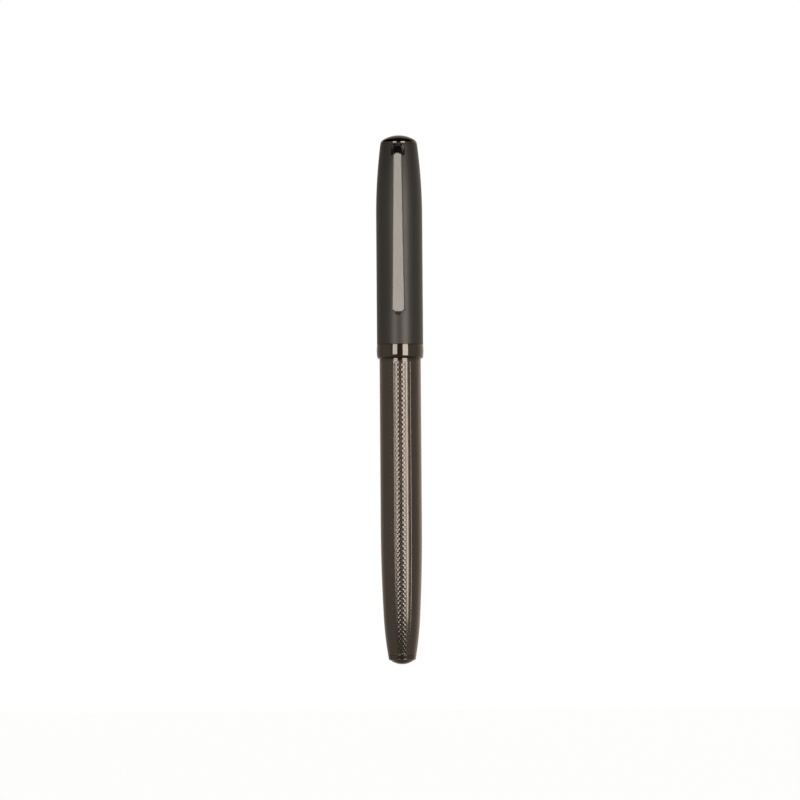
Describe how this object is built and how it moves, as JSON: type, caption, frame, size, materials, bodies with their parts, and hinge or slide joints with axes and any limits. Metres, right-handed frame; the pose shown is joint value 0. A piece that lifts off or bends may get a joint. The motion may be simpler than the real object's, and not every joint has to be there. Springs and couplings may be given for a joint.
{
  "type": "rollerball pen",
  "caption": "Metal rollerball pen with a satin pull-off cap, sprung flat clip, polished mouth band and engraved barrel that unscrews to change the refill.",
  "frame": {"origin": "on the pen's axis, in the plane of the barrel's end face where the cap's mouth seats", "axes": "+Z along the pen's axis towards the crown and the writing point; the clip is on the -Y side"},
  "size_m": [0.0122, 0.0141, 0.138],
  "materials": {
    "cap_satin": "satin gunmetal plating over brass",
    "polished_gunmetal": "mirror-polished gunmetal plating",
    "engraved_gunmetal": "polished gunmetal plating with fine engraving",
    "clip_satin": "fine satin, brushed along its length",
    "grip_resin": "black resin",
    "inner_plastic": "black moulded plastic",
    "brass": "turned brass",
    "steel": "bright turned steel",
    "spring_steel": "drawn spring wire",
    "washer_rubber": "black rubber",
    "refill_body": "satin metal tube",
    "refill_plastic": "black moulded plastic",
    "ink_fibre": "ink-soaked fibre",
    "nickel_silver": "turned nickel silver",
    "ball_carbide": "polished carbide"
  },
  "bodies": {
    "barrel": {"barrel_tube": "engraved_gunmetal", "barrel_bush": "polished_gunmetal", "tail_plug": "polished_gunmetal", "spring_seat": "inner_plastic", "refill_spring": "spring_steel"},
    "washer": {"section_washer": "washer_rubber"},
    "section": {"section_core": "brass", "section_collar": "polished_gunmetal", "section_grip": "grip_resin", "nose_cone": "polished_gunmetal"},
    "clutch": {"snap_ring": "spring_steel"},
    "refill": {"refill_tube": "refill_body", "refill_end_plug": "refill_plastic", "refill_nose": "refill_plastic", "ink_filler": "ink_fibre", "feed_wick": "ink_fibre", "point_tube": "nickel_silver"},
    "ball": {"writing_ball": "ball_carbide"},
    "cap": {"cap_shell": "cap_satin", "cap_band": "polished_gunmetal", "cap_crown": "polished_gunmetal", "cap_liner": "inner_plastic", "clip_block": "steel", "clip_pin": "steel", "clip_spring": "spring_steel", "crown_screw": "steel"},
    "clip": {"clip": "clip_satin"}
  },
  "joints": [
    {"name": "section_rise", "type": "slide", "parent": "barrel", "child": "washer", "axis": [0, 0, 1], "range_m": [0, 0.009]},
    {"name": "section_turn", "type": "hinge", "parent": "washer", "child": "section", "pos_m": [0, 0, 0], "axis": [0, 0, 1], "range_deg": [0, 4350]},
    {"name": "refill_recoil", "type": "slide", "parent": "section", "child": "refill", "axis": [0, 0, -1], "range_m": [0, 0.0008], "stiffness_N_per_m": 300, "springref_m": -0.004, "deforming": ["refill_spring"]},
    {"name": "ball_roll", "type": "hinge", "parent": "refill", "child": "ball", "pos_m": [0, 0, 0.04375], "axis": [1, 0, 0], "continuous": true},
    {"name": "cap_turn", "type": "hinge", "parent": "section", "child": "clutch", "pos_m": [0, 0, 0.0063], "axis": [0, 0, 1], "continuous": true},
    {"name": "cap_pull", "type": "slide", "parent": "clutch", "child": "cap", "axis": [0, 0, 1], "range_m": [0, 0.06]},
    {"name": "clip_lift", "type": "hinge", "parent": "cap", "child": "clip", "pos_m": [0, -0.0032, 0.05405], "axis": [-1, 0, 0], "range_deg": [0, 4], "stiffness_Nm_per_rad": 1.5, "springref_deg": -2.86, "deforming": ["clip_spring"]}
  ],
  "couplings": [
    {"joint": "section_turn", "follows": "section_rise", "rad_per_m": 8377.6}
  ]
}
